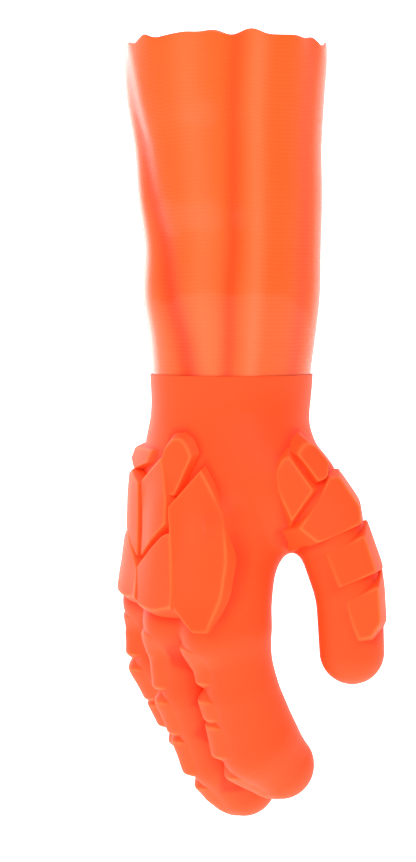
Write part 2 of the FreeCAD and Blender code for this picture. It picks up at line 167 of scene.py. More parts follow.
def eased(z, stations, values):
    """Values along Z, joined by smooth cubic pieces. The stations go down."""
    stations, values = stations[::-1], values[::-1]
    slopes = np.gradient(values, stations)
    i = np.clip(np.searchsorted(stations, z) - 1, 0, len(stations) - 2)
    step = stations[i + 1] - stations[i]
    t = np.clip((z - stations[i]) / step, 0, 1)
    h00, h10 = (1 + 2 * t) * (1 - t) ** 2, t * (1 - t) ** 2
    h01, h11 = t * t * (3 - 2 * t), t * t * (t - 1)
    return h00 * values[i] + h10 * step * slopes[i] + h01 * values[i + 1] + h11 * step * slopes[i + 1]


def smooth_min(a, b, width):
    h = np.maximum(width - np.abs(a - b), 0) / width
    return np.minimum(a, b) - h * h * width / 4


def smooth_max(a, b, width):
    return -smooth_min(-a, -b, width)


def ball_field(x, y, z, centre, radius):
    return np.sqrt((x - centre[0]) ** 2 + (y - centre[1]) ** 2 + (z - centre[2]) ** 2) - radius


def palm_field(x, y, z):
    offset, shift, a, b = (eased(z, PALM_SECTIONS[:, 0], PALM_SECTIONS[:, i]) for i in range(1, 5))
    side = (y - ARCH_MIDDLE) / ARCH_HALF_BREADTH
    rise = np.where(side > 0, ARCH_RISE["little"], ARCH_RISE["index"])
    ramp = np.clip((ARCH_TOP - z) / ARCH_GROWTH, 0, 1)
    x = x - rise * side * side * ramp * ramp * (3 - 2 * ramp)
    u, v = np.abs(x - offset) / a, np.abs(y - shift) / b
    n = PALM_SQUARENESS - WRIST_LOSS * (1 - ramp)
    f = (u**n + v**n) ** (1 / n) + 1e-6
    slope = np.hypot(f ** (1 - n) * u ** (n - 1) / a, f ** (1 - n) * v ** (n - 1) / b) + 1e-4
    return smooth_max((f - 1) / slope, np.interp(y, WEB_Y, WEB_Z) - z, WEB_ROUND)


def chain_field(x, y, z, points, radii):
    """Distance to a chain of tapered round bars."""
    field = None
    for a, b, ra, rb in zip(points, points[1:], radii, radii[1:]):
        along = b - a
        px, py, pz = x - a[0], y - a[1], z - a[2]
        t = np.clip((px * along[0] + py * along[1] + pz * along[2]) / (along @ along), 0, 1)
        d = np.sqrt((px - t * along[0]) ** 2 + (py - t * along[1]) ** 2 + (pz - t * along[2]) ** 2)
        d = d - (ra + (rb - ra) * t)
        field = d if field is None else smooth_min(field, d, CHAIN_FILLET)
    return field


def finger_field(x, y, z, finger):
    """A finger is deeper than it is broad, starts in the palm above its root, and has a knuckle."""
    half_breadth, radii, to_palm = FINGER_SHAPES[finger]
    root = CHAINS[finger][0]
    shift = np.array([to_palm, 0.0, 0.0])
    points = [root + METACARPAL] + [p + shift for p in CHAINS[finger]]
    flat = [p * np.array([1, 0, 1]) for p in points]
    bar = chain_field(x, (y - root[1]) * radii[1] / half_breadth, z, flat, radii)
    knuckle = ball_field(x, y, z, root + KNUCKLE, KNUCKLE_RADIUS)
    return smooth_min(bar, knuckle, KNUCKLE_FILLET)


def thumb_field(x, y, z):
    return chain_field(x, y, z, CHAINS["thumb"], THUMB_RADII)


def fleshy_palm(x, y, z):
    """The palm with the ball of the thumb."""
    ball = ball_field(x, y, z, THENAR, THENAR_RADIUS)
    return smooth_min(palm_field(x, y, z), ball, THENAR_FILLET)


def lone_finger_field(x, y, z, finger):
    """The palm with one finger only, so that its pads take no notice of the next finger."""
    return smooth_min(fleshy_palm(x, y, z), finger_field(x, y, z, finger), FINGER_FILLET)


def skin_field(x, y, z):
    """The outside of the dipped coat: below zero inside it."""
    palm = fleshy_palm(x, y, z)
    field = smooth_min(palm, thumb_field(x, y, z), THUMB_FILLET)
    for finger in FINGERS:
        field = np.minimum(field, smooth_min(palm, finger_field(x, y, z, finger), FINGER_FILLET))
    return field


def gradient(field, points, step=0.3):
    """Unit normals of a field at points."""
    normals = np.empty_like(points)
    for axis in range(3):
        ahead, behind = points.copy(), points.copy()
        ahead[:, axis] += step
        behind[:, axis] -= step
        normals[:, axis] = field(*ahead.T) - field(*behind.T)
    return normals / np.maximum(np.linalg.norm(normals, axis=1, keepdims=True), 1e-9)


def surface_of(field, low, high, step):
    """Points and quads where a field is zero, inside a box."""
    low, high = np.asarray(low, float), np.asarray(high, float)
    counts = np.ceil((high - low) / step).astype(int) + 1
    axes = [low[i] + step * np.arange(counts[i]) for i in range(3)]
    values = np.empty(counts, dtype=np.float32)
    for i, x in enumerate(axes[0]):
        y, z = np.meshgrid(axes[1], axes[2], indexing="ij")
        values[i] = field(np.full_like(y, x), y, z)
    grid = openvdb.FloatGrid(background=BAND)
    grid.copyFromArray(np.clip(values, -BAND, BAND))
    points, quads = grid.convertToQuads(isovalue=0.0)
    return low + points.astype(np.float64) * step, quads


# ---------------------------------------------------------------- materials
def principled(name, colour, roughness, coat=0.0, coat_roughness=0.1, specular=0.5):
    made = bpy.data.materials.new(name)
    made.use_nodes = True
    shader = made.node_tree.nodes["Principled BSDF"]
    shader.inputs["Base Color"].default_value = (*colour, 1)
    shader.inputs["Roughness"].default_value = roughness
    shader.inputs["Coat Weight"].default_value = coat
    shader.inputs["Coat Roughness"].default_value = coat_roughness
    shader.inputs["Specular IOR Level"].default_value = specular
    return made, made.node_tree, shader


def noise(tree, scale, detail=2.0):
    """The height of a noise that keeps its place on the piece, in object coordinates."""
    place = tree.nodes.new("ShaderNodeTexCoord")
    made = tree.nodes.new("ShaderNodeTexNoise")
    made.inputs["Scale"].default_value = scale
    made.inputs["Detail"].default_value = detail
    tree.links.new(place.outputs["Object"], made.inputs["Vector"])
    return made.outputs["Fac"]


def bump(tree, shader, height, distance, strength=1.0):
    made = tree.nodes.new("ShaderNodeBump")
    made.inputs["Distance"].default_value = distance
    made.inputs["Strength"].default_value = strength
    tree.links.new(height, made.inputs["Height"])
    tree.links.new(made.outputs["Normal"], shader.inputs["Normal"])


def mixed(tree, factor, low, high):
    """A colour between two others, by a factor from 0 to 1."""
    made = tree.nodes.new("ShaderNodeMix")
    made.data_type = "RGBA"
    tree.links.new(factor, made.inputs["Factor"])
    for socket, colour in (("A", low), ("B", high)):
        if isinstance(colour, tuple):
            made.inputs[socket].default_value = (*colour, 1)
        else:
            tree.links.new(colour, made.inputs[socket])
    return made.outputs["Result"]


def attribute(tree, name):
    made = tree.nodes.new("ShaderNodeAttribute")
    made.attribute_name = name
    return made.outputs["Fac"]


def multiply(tree, value, by):
    made = tree.nodes.new("ShaderNodeMath")
    made.operation = "MULTIPLY"
    tree.links.new(value, made.inputs[0])
    made.inputs[1].default_value = by
    return made.outputs[0]


COAT_COLOUR = (0.98, 0.082, 0.013)
# Painted shade at the foot of pads and between fingers.
GROOVE_SHADE_COLOUR = (0.98, 0.045, 0.006)
# A painted highlight along the edges of pads.
EDGE_HIGHLIGHT_COLOUR = (1.0, 0.15, 0.03)
PAD_COLOUR = (0.98, 0.088, 0.013)
SLEEVE_COLOUR = (0.98, 0.108, 0.010)
# A painted dark reflection in the valleys of the sleeve's folds.
VALLEY_REFLECTION_COLOUR = (0.98, 0.045, 0.0)
# A painted highlight on the ridges of the sleeve's folds.
RIDGE_HIGHLIGHT_COLOUR = (1.0, 0.24, 0.10)
LINING_COLOUR = (0.75, 0.72, 0.66)
# The weave that prints through the sleeve: direction, scale and strength of its two threads.
THREADS = (("Y", 190.0, 1.0), ("X", 150.0, 0.6))


def make_rubber(name, colour, painted_shading_attribute, painted_shading_colour):
    """Matt dipped rubber. A vertex attribute marks where it takes a second colour of painted shade or
    painted highlight.
    """
    made, tree, shader = principled(name, colour, roughness=0.55, specular=0.2)
    shaded = mixed(tree, attribute(tree, painted_shading_attribute), colour, painted_shading_colour)
    tree.links.new(shaded, shader.inputs["Base Color"])
    bump(tree, shader, noise(tree, scale=900.0), distance=0.00006, strength=0.5)
    return made


def make_sleeve_cloth():
    """Glossy film over a woven cloth, whose threads print through. Its fold valleys take a painted dark
    reflection and its ridges a painted highlight.
    """
    made, tree, shader = principled(
        "sleeve_film", SLEEVE_COLOUR, roughness=0.45, coat=0.4, coat_roughness=0.1, specular=0.15
    )
    # Painted dark reflection in the valleys of folds, painted highlight on their ridges.
    shaded = mixed(tree, attribute(tree, "painted_valley_reflection"), SLEEVE_COLOUR, VALLEY_REFLECTION_COLOUR)
    shaded = mixed(tree, attribute(tree, "painted_ridge_highlight"), shaded, RIDGE_HIGHLIGHT_COLOUR)
    tree.links.new(shaded, shader.inputs["Base Color"])
    place = tree.nodes.new("ShaderNodeUVMap")
    place.uv_map = "cloth"
    heights = []
    for direction, scale, strength in THREADS:
        threads = tree.nodes.new("ShaderNodeTexWave")
        threads.bands_direction = direction
        threads.inputs["Scale"].default_value = scale
        threads.inputs["Distortion"].default_value = 0.6
        threads.inputs["Detail"].default_value = 1.0
        tree.links.new(place.outputs["UV"], threads.inputs["Vector"])
        heights.append(multiply(tree, threads.outputs["Fac"], strength))
    total = tree.nodes.new("ShaderNodeMath")
    tree.links.new(heights[0], total.inputs[0])
    tree.links.new(heights[1], total.inputs[1])
    bump(tree, shader, total.outputs[0], distance=0.0001, strength=0.6)
    return made


def make_lining_cloth():
    made, tree, shader = principled("lining_fleece", LINING_COLOUR, roughness=0.95, specular=0.2)
    bump(tree, shader, noise(tree, scale=700.0, detail=4.0), distance=0.0006)
    return made


def make_white():
    """White paper for the stage, which glows a little so that no corner turns grey."""
    made = bpy.data.materials.new("white_paper")
    made.use_nodes = True
    shader = made.node_tree.nodes["Principled BSDF"]
    shader.inputs["Base Color"].default_value = (0.9, 0.9, 0.9, 1)
    shader.inputs["Roughness"].default_value = 0.9
    shader.inputs["Emission Color"].default_value = (1, 1, 1, 1)
    shader.inputs["Emission Strength"].default_value = 0.9
    return made


# The coat takes painted shade at the foot of pads and between fingers.
COAT = make_rubber("coat_rubber", COAT_COLOUR, "painted_groove_shade", GROOVE_SHADE_COLOUR)
# The pads take a painted highlight along their edges.
PAD = make_rubber("pad_rubber", PAD_COLOUR, "edge", EDGE_HIGHLIGHT_COLOUR)
SLEEVE = make_sleeve_cloth()
LINING = make_lining_cloth()
WHITE = make_white()


# ---------------------------------------------------------------- pieces
def piece(name, points, faces, material, normals=None, values=None):
    """A smooth mesh object from points in millimetres, with optional normals and named values."""
    mesh = bpy.data.meshes.new(name)
    mesh.from_pydata((points * MM).tolist(), [], [list(face) for face in faces])
    mesh.polygons.foreach_set("use_smooth", [True] * len(mesh.polygons))
    for label, value in (values or {}).items():
        layer = mesh.attributes.new(label, "FLOAT", "POINT")
        layer.data.foreach_set("value", np.asarray(value, np.float32))
    mesh.update()
    if normals is not None:
        mesh.normals_split_custom_set_from_vertices(normals.tolist())
    made = bpy.data.objects.new(name, mesh)
    made.data.materials.append(material)
    bpy.context.scene.collection.objects.link(made)
    return made


def bend(made, a, b, start, end):
    """Bake the piece's transform into its mesh; the two bodies and the ends, given in millimetres, are
    not used.
    """
    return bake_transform(made)


# ---------------------------------------------------------------- raised pads
# How deep a pad reaches under the skin, and how round its lower edge is there.
SINK, SINK_ROUND = 2.0, 0.2
# How far the sides lean out, for each mm down: most sides, gentle ones, and the ends of finger pads.
SIDE_SLOPE, SOFT_SLOPE, END_SLOPE = 0.36, 0.75, 0.95
TOP_ROUND, CORNER_ROUND = 0.55, 0.7
# How much of a pad's top is a plane; the rest follows the skin.
FLATNESS = 0.6
# The painted highlight along a pad's edge: its width, and how far over the skin it is at full strength.
EDGE_HIGHLIGHT_WIDTH, EDGE_HIGHLIGHT_LIFT = 0.6, 1.5
PAD_STEP = 0.5
PAD_NORMAL_STEP = 0.2
# The search for the skin under a pad: where it starts, and its step.
FAR_OUT, SEARCH_STEP = 95.0, 0.25
# Room round a pad where it is meshed: beside, below and above.
PAD_ROOM = (7, 15, 11)
# Pads of the back of the hand and of the thumb: the way each one faces, in degrees from the back
# of the hand to the thumb, its outline as seen from there, in mm across and along, which of its
# sides slope gently, and how high it stands at its left and right.
OUTLINES = {
    "index_knuckle_pad": (
        34,
        (
            *((8, -181), (22, -198), (25, -216), (24, -231)),
            *((19, -246), (12, -246.5), (0, -238), (-7, -197)),
        ),
        (0, 1, 2, 3, 4),
        (4.6, 1.2),
    ),
    "thumb_side_wrist_pad": (
        21,
        (
            *((-5, -178), (-3, -172.5), (1, -168.5), (5, -168)),
            *((8, -170), (11.5, -175.5), (4, -192), (1, -192)),
        ),
        (1, 2, 3, 4),
        (4.4, 3.0),
    ),
    "middle_back_pad": (
        8,
        ((-13, -188), (4, -177), (11, -194), (12, -204), (-8.5, -220)),
        (0,),
        (4.8, 4.8),
    ),
    "middle_knuckle_pad": (
        4,
        ((-6, -225), (14, -209), (18, -208), (25.5, -238), (14, -241), (0, -240)),
        (3, 4),
        (4.8, 4.8),
    ),
    "ring_back_pad": (
        -2,
        ((-8.5, -189), (-20, -184.5), (-26, -186), (-29, -209), (-6, -221)),
        (1,),
        (4.8, 4.8),
    ),
    "ring_knuckle_pad": (
        -12,
        (
            *((5.5, -226.5), (-12, -212), (-18, -212), (-25, -216)),
            *((-24, -232), (-16, -238), (-6, -239), (10, -238)),
        ),
        (4, 5, 6),
        (4.8, 4.8),
    ),
    "little_side_wrist_pad": (
        -8,
        ((2, -174.5), (-2, -180), (-17, -184), (-26, -180), (-22, -174.5)),
        (0, 3),
        (5.0, 2.0),
    ),
    "little_knuckle_pad": (
        -38,
        (
            *((-4, -188), (-12, -187), (-21, -202), (-26, -217)),
            *((-22, -231), (-14, -233), (-10, -224), (-8, -208)),
        ),
        (1, 2, 3, 4),
        (3.0, 4.8),
    ),
    "thumb_root_front_pad": (
        88,
        ((4, -173.5), (7.5, -170), (11, -169), (13.5, -170.5), (16.5, -177), (13.5, -182.5), (9, -184)),
        (0, 1, 2),
        (2.4, 3.6),
    ),
    "thumb_root_back_pad": (
        55,
        ((30, -174), (40.5, -187.5), (32, -200), (26, -188), (25, -181), (27, -176)),
        (2, 3, 4, 5),
        (1.2, 3.8),
    ),
    "thumb_base_pad": (
        81,
        ((22.5, -183), (27, -182.5), (33, -194.5), (32, -201), (14, -208.5), (8, -203)),
        (1, 2, 4),
        (2.2, 3.8),
    ),
    "thumb_proximal_pad": (
        72,
        ((28, -213), (44, -206), (48, -220.5), (33, -226.5)),
        (1, 3),
        (0.3, 3.6),
    ),
    "thumb_distal_pad": (
        74,
        ((33, -232), (46, -226.5), (47, -241), (43, -247), (38, -248), (35, -241)),
        (1, 2, 3, 4, 5),
        (0.3, 3.2),
    ),
}
THUMB_STALL_PADS = ("thumb_base_pad", "thumb_proximal_pad", "thumb_distal_pad")
# Pads of the fingers: where each one starts and ends, in mm from the flex line of its stretch.
FINGER_SPANS = {
    "index": {
        "proximal": ((2.0, 18.4),),
        "middle": ((-2.2, 6.4), (9.6, 23.2)),
        "distal": ((1.8, 25.0),),
    },
    "middle": {
        "proximal": ((0.8, 25.4),),
        "middle": ((-1.4, 14.4), (18.6, 35.0)),
        "distal": ((5.4, 27.0),),
    },
    "ring": {
        "proximal": ((4.0, 22.0),),
        "middle": ((-2.6, 14.0), (17.4, 28.6)),
        "distal": ((2.5, 27.0),),
    },
    "little": {
        "proximal": ((5.0, 19.0),),
        "middle": ((-1.8, 9.5), (12.8, 21.4)),
        "distal": ((2.5, 24.0),),
    },
}
# How high they stand, and how deep their faded side lies under the skin.
FINGER_RISE, FADE_SINK = 4.2, 0.1
# How far round a finger its pads reach, in degrees from the middle of its back: the side by the
# thumb fades into the finger, and the other side ends in an edge.
FADE_FROM, FADE_TO, EDGE_AT = -26.0, 16.0, 52.0
# Pads start lower at the knuckles and end lower at the tips: over how many mm, and to what share.
START_REACH, TIP_REACH, END_SHARE = 9.0, 13.0, 0.35
# Room round a finger's pads where they are meshed: along it, over its back and to its sides; and
# the least height over the finger's axis.
FINGER_ROOM = (8, 10, 7)
LEAST_OUT = 0.5
NEAR_AXIS = 0.1
# What each pad was meshed from, by its name, so that painted shade can darken the skin round its foot.
PAD_SHAPES = {}


def outline_side(u, v, top, corners, soft):
    """Distance outside the sloping sides of a convex outline."""
    corners = np.array(corners, float)
    middle = corners.mean(axis=0)
    distance = None
    for number, (a, b) in enumerate(zip(corners, np.roll(corners, -1, axis=0))):
        along = unit(b - a)
        outward = np.array([along[1], -along[0]])
        if outward @ (a - middle) < 0:
            outward = -outward
        slope = SOFT_SLOPE if number in soft else SIDE_SLOPE
        d = (u - a[0]) * outward[0] + (v - a[1]) * outward[1] + slope * top
        d = d / math.hypot(1, slope)
        distance = d if distance is None else smooth_max(distance, d, CORNER_ROUND)
    return distance


class Place:
    """A point with three axes, round which a pad is meshed."""

    def __init__(self, origin, axes):
        self.origin, self.axes = np.asarray(origin, float), np.array([unit(a) for a in axes])

    def out(self, a, b, c):
        """Points of the glove from places in this frame."""
        first, second, third = self.axes
        return tuple(
            self.origin[i] + a * first[i] + b * second[i] + c * third[i] for i in range(3)
        )

    def into(self, x, y, z):
        """Places in this frame from points of the glove."""
        p = (x - self.origin[0], y - self.origin[1], z - self.origin[2])
        return tuple(p[0] * axis[0] + p[1] * axis[1] + p[2] * axis[2] for axis in self.axes)


def pad_piece(name, place, low, high, shape):
    """Mesh a pad in its own frame. shape gives the skin, top and side distances at a place in it."""

    def whole(a, b, c):
        skin, top, side = shape(a, b, c)
        return smooth_max(smooth_max(top, side, TOP_ROUND), -(skin + SINK), SINK_ROUND)

    PAD_SHAPES[name] = (place, shape, np.array(low), np.array(high))
    points, faces = surface_of(whole, low, high, PAD_STEP)
    normals = gradient(whole, points, PAD_NORMAL_STEP)
    skin, top, side = shape(*points.T)
    # A painted highlight where a pad's top meets its sides.
    edge = np.exp(-(((top - side) / EDGE_HIGHLIGHT_WIDTH) ** 2)) * np.clip(skin / EDGE_HIGHLIGHT_LIFT, 0, 1)
    made_points = np.stack(place.out(*points.T), axis=1)
    return piece(f"{name}_raised", made_points, faces, PAD, normals @ place.axes, {"edge": edge})


def outline_place(facing):
    """Across, up and out, as seen from the way that a pad faces."""
    turn = math.radians(facing)
    outward = np.array([-math.cos(turn), -math.sin(turn), 0.0])
    across = np.array([math.sin(turn), -math.cos(turn), 0.0])
    return Place((0, 0, 0), (across, (0, 0, 1), outward))


def reach_at(place, u, v, height):
    """How far out a place at some height over the skin is."""
    out = np.arange(FAR_OUT, 0.0, -SEARCH_STEP)
    skin = skin_field(*place.out(np.full_like(out, u), np.full_like(out, v), out))
    return out[np.argmax(skin < height)]


def flat_top(place, corners, heights):
    """The plane that fits the top's corners best, as (level, slope across, slope along)."""
    corners = np.array(corners, float)
    rises = np.interp(corners[:, 0], (corners[:, 0].min(), corners[:, 0].max()), heights)
    reaches = [reach_at(place, u, v, rise) for (u, v), rise in zip(corners, rises)]
    known = np.column_stack([np.ones(len(corners)), corners])
    return np.linalg.lstsq(known, np.array(reaches), rcond=None)[0]


def make_outline_pad(name, facing, corners, soft, heights):
    """A faceted pad with a drawn outline."""
    place = outline_place(facing)
    level, across, along = flat_top(place, corners, heights)
    reach = reach_at(place, *np.mean(corners, axis=0), 0.0)
    steepness = math.sqrt(1 + across**2 + along**2)
    (u0, v0), (u1, v1) = np.min(corners, axis=0), np.max(corners, axis=0)

    def shape(a, b, c):
        skin = skin_field(*place.out(a, b, c))
        rise = np.interp(a, (u0, u1), heights)
        flat = (c - level - across * a - along * b) / steepness
        top = FLATNESS * flat + (1 - FLATNESS) * (skin - rise)
        return skin, top, outline_side(a, b, top, corners, soft)

    beside, below, above = PAD_ROOM
    low = (u0 - beside, v0 - beside, reach - below)
    high = (u1 + beside, v1 + beside, reach + above)
    return pad_piece(name, place, low, high, shape)


def make_finger_pads(name, finger, number, spans):
    """The raised pads over the back of one stretch of a finger, as one piece."""
    start, end = CHAINS[finger][number], CHAINS[finger][number + 1]
    along = unit((end - start) * np.array([1, 0, 1]))
    back = np.array([along[2], 0.0, -along[0]])
    to_palm = FINGER_SHAPES[finger][2]
    place = Place(start + np.array([to_palm, 0, 0]), (along, back, (0, 1, 0)))
    radius = FINGER_SHAPES[finger][1][number + 1]

    def shape(a, b, c):
        skin = lone_finger_field(*place.out(a, b, c), finger)
        angle = np.degrees(np.arctan2(c, np.maximum(b, NEAR_AXIS)))
        t = np.clip((-angle - FADE_FROM) / (FADE_TO - FADE_FROM), 0, 1)
        rise = FINGER_RISE * (1 - t * t * (3 - 2 * t)) - FADE_SINK
        if number == 0:
            grown = np.clip((a - spans[0][0]) / START_REACH, 0, 1)
            rise = rise * (END_SHARE + (1 - END_SHARE) * grown)
        if number == 2:
            left = np.clip((spans[-1][1] - a) / TIP_REACH, 0, 1)
            rise = rise * (END_SHARE + (1 - END_SHARE) * left)
        ends = [np.abs(a - (top + bottom) / 2) - (bottom - top) / 2 for top, bottom in spans]
        nearest = ends[0] if len(ends) == 1 else np.minimum(*ends)
        ending = (nearest + END_SLOPE * (skin - rise)) / math.hypot(1, END_SLOPE)
        round_it = np.radians(angle - EDGE_AT) * (radius + FINGER_RISE)
        far_side = round_it + SIDE_SLOPE * (skin - rise)
        return skin, skin - rise, smooth_max(ending, far_side, CORNER_ROUND)

    beyond, over, beside = FINGER_ROOM
    low = (spans[0][0] - beyond, LEAST_OUT, -radius - beside)
    high = (spans[-1][1] + beyond, radius + over, radius + beside)
    return pad_piece(name, place, low, high, shape)


def make_pads():
    """Every raised pad. Those of the thumb's stall and the fingers ride on their own stretch."""
    for name, outline in OUTLINES.items():
        body = name.removesuffix("_pad") if name in THUMB_STALL_PADS else "hand"
        finish_pad(make_outline_pad(name, *outline), name, body)
    for finger, stretches in FINGER_SPANS.items():
        for number, (stretch, spans) in enumerate(stretches.items()):
            name = f"{finger}_{stretch}_{'pads' if len(spans) > 1 else 'pad'}"
            made = make_finger_pads(name, finger, number, spans)
            finish_pad(made, name, f"{finger}_{stretch}")


def finish_pad(made, node, body):
    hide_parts(node)
    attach(made, body)


# ---------------------------------------------------------------- the skin of the hand
SKIN_STEP = 0.9
SKIN_LOW, SKIN_HIGH = (-56, -92, -348), (46, 70, -134)
# The height of the cut across the wrist, and of the start and end of the wrist's bend.
WRIST_CUT = -172.0
WRIST_BEND = (-148.0, -168.0)
# Where each finger leaves the hand, below the webs on its two sides: the height at the finger's
# middle, and how steeply the cut falls along Y.
WEB_CUTS = {
    "index": (-258.2, -0.2),
    "middle": (-259.0, 0.145),
    "ring": (-252.7, 0.30),
    "little": (-244.8, 0.32),
}
# The second cut of a finger lies this far over its middle joint.
ABOVE_MIDDLE_LINE = 4.0
# The thumb's first cut as a share of its middle stretch, and its second over the end joint.
THUMB_CUT, THUMB_END_CUT = 0.4, 3.0
# Lengths of the bends past a cut, and the gaps kept free of bend before and after them.
FINGER_BEND, TIP_BEND, THUMB_BEND = 14.0, 8.0, 11.0
FINGER_START_GAP, THUMB_START_GAP, END_GAP = 0.2, 0.3, 0.4
# The hand's bend towards the thumb is worked out along this direction and over this length at least.
HAND_BEND_WAY = unit((0.69, -0.70, -0.2))
LEAST_BEND = 6.0
HAND_GAPS = (0.2, 0.1)
# How near to a digit's field its skin lies, and how far from a cut's plane faces are cut.
NEAR_DIGIT = 7.0
CUT_REACH = 5.0
CUT_MERGE = 1e-4
# Points this near to a cut's plane lie on it, and those this near to its middle are on its loop.
ON_CUT, LOOP_REACH = 1e-2, 30
# The thickness of the coat's upper edge, and how near to it a point has to be to lie on it.
RIM_WALL, ON_RIM = 1.2, 1e-3
# The painted shade at the foot of a pad: how wide, and from what depth of groove it is at full strength.
GROOVE_REACH, FULL_GROOVE = 1.8, 3.0
# The gaps between fingers, where painted shade deepens the colour: from what height down, over what
# height, how near to both fingers, and how much.
GAP_TOP, GAP_FADE, GAP_REACH, GAP_SHADE = -250.0, 12.0, 12.0, 0.9


def digit_cuts():
    """The planes across each digit, from the hand to the tip, as (point, normal) pairs."""
    cuts = {}
    for finger in FINGERS:
        root, middle, end, _ = CHAINS[finger]
        height, slope = WEB_CUTS[finger]
        down = unit((0.0, slope, -1.0))
        cuts[finger] = [
            (np.array([root[0], root[1], height]), down),
            (middle + np.array([0.0, 0.0, ABOVE_MIDDLE_LINE]), down),
            ((middle + end) / 2, unit(end - middle)),
        ]
    _, middle, end, _ = CHAINS["thumb"]
    along = unit(end - middle)
    cuts["thumb"] = [
        (middle + (end - middle) * THUMB_CUT, along),
        (end - along * THUMB_END_CUT, along),
    ]
    return cuts


CUTS = digit_cuts()


def near_digit(points):
    """Which digit each point belongs to, if any."""
    fields = {"thumb": thumb_field(*points.T)}
    for finger in FINGERS:
        fields[finger] = finger_field(*points.T, finger)
    names = np.array(list(fields))
    values = np.array(list(fields.values()))
    nearest = np.argmin(values, axis=0)
    return np.where(values.min(axis=0) < NEAR_DIGIT, names[nearest], "")


def cut_across(bm, centres, chosen, point, normal):
    """Cut the chosen faces along a plane."""
    near = chosen & (np.abs((centres - point) @ normal) < CUT_REACH)
    bm.faces.ensure_lookup_table()
    faces = [bm.faces[i] for i in np.flatnonzero(near)]
    edges = dict.fromkeys(edge for face in faces for edge in face.edges)
    verts = dict.fromkeys(vert for face in faces for vert in face.verts)
    geometry = [*faces, *edges, *verts]
    bmesh.ops.bisect_plane(bm, geom=geometry, dist=CUT_MERGE, plane_co=point, plane_no=normal)


def face_centres(bm):
    return np.array([face.calc_center_median() for face in bm.faces])


def skin_pieces():
    """Points and faces of the whole skin, cut at the flex lines, as a face list for each piece."""
    points, faces = surface_of(skin_field, SKIN_LOW, SKIN_HIGH, SKIN_STEP)
    bm = bmesh.new()
    verts = [bm.verts.new(point) for point in points]
    for face in faces:
        bm.faces.new([verts[i] for i in face])
    up = np.array([0.0, 0.0, 1.0])
    for height in (COAT_LINE, WRIST_CUT):
        centres = face_centres(bm)
        cut_across(bm, centres, np.full(len(centres), True), np.array([0, 0, height]), up)
    for digit, cuts in CUTS.items():
        for point, normal in cuts:
            centres = face_centres(bm)
            cut_across(bm, centres, near_digit(centres) == digit, point, normal)
    centres = face_centres(bm)
    owner = near_digit(centres)
    label = np.full(len(centres), "hand", dtype="<U12")
    for digit, cuts in CUTS.items():
        for number, (point, normal) in enumerate(cuts):
            label[(owner == digit) & ((centres - point) @ normal > 0)] = f"{digit}_{number}"
    label[centres[:, 2] > WRIST_CUT] = "wrist"
    label[centres[:, 2] > COAT_LINE] = ""
    bm.verts.index_update()
    points = np.array([vert.co for vert in bm.verts])
    parts = {}
    for face, name in zip(bm.faces, label):
        parts.setdefault(str(name), []).append([vert.index for vert in face.verts])
    bm.free()
    return points, parts


def groove_shade(points):
    """How much painted shade deepens the colour at each point of the skin, at the foot of pads and
    between fingers.
    """
    shade = np.zeros(len(points))
    # Painted shade at the foot of each pad.
    for place, shape, low, high in PAD_SHAPES.values():
        local = np.stack(place.into(*points.T), axis=1)
        inside = np.all((local > low) & (local < high), axis=1)
        if inside.any():
            skin, top, side = shape(*local[inside].T)
            depth = np.clip((skin - top) / FULL_GROOVE, 0, 1)
            shade[inside] = np.maximum(shade[inside], depth * np.exp(-((side / GROOVE_REACH) ** 2)))
    # Painted shade between fingers, below the webs.
    nearest = np.sort([finger_field(*points.T, finger) for finger in FINGERS], axis=0)
    low = np.clip((GAP_TOP - points[:, 2]) / GAP_FADE, 0, 1)
    return np.maximum(shade, GAP_SHADE * low * np.clip(1 - nearest[1] / GAP_REACH, 0, 1))


def only(points, faces):
    """The points that some faces use, and the faces renumbered."""
    used = np.unique(np.concatenate([np.array(face) for face in faces]))
    place = np.full(len(points), -1)
    place[used] = np.arange(len(used))
    return points[used], [place[face].tolist() for face in faces]


def skin_piece(name, points, faces):
    """One stretch of the skin, and its points."""
    points, faces = only(points, faces)
    values = {"painted_groove_shade": groove_shade(points)}
    made = piece(name, points, faces, COAT, gradient(skin_field, points), values)
    return made, points


def add_rim(points, faces):
    """Turn the upper edge of the coat in, down to the sleeve under it."""
    ring = np.flatnonzero(np.abs(points[:, 2] - COAT_LINE) < ON_RIM)
    middle = points[ring].mean(axis=0)
    ring = ring[np.argsort(np.arctan2(points[ring, 1] - middle[1], points[ring, 0] - middle[0]))]
    inward = (middle - points[ring]) * np.array([1, 1, 0])
    inward = inward / np.linalg.norm(inward, axis=1, keepdims=True)
    inner = points[ring] + inward * RIM_WALL
    start, count = len(points), len(ring)
    quads = []
    for i in range(count):
        j = (i + 1) % count
        quads.append([int(ring[i]), int(ring[j]), start + j, start + i])
    return np.vstack([points, inner]), faces + quads


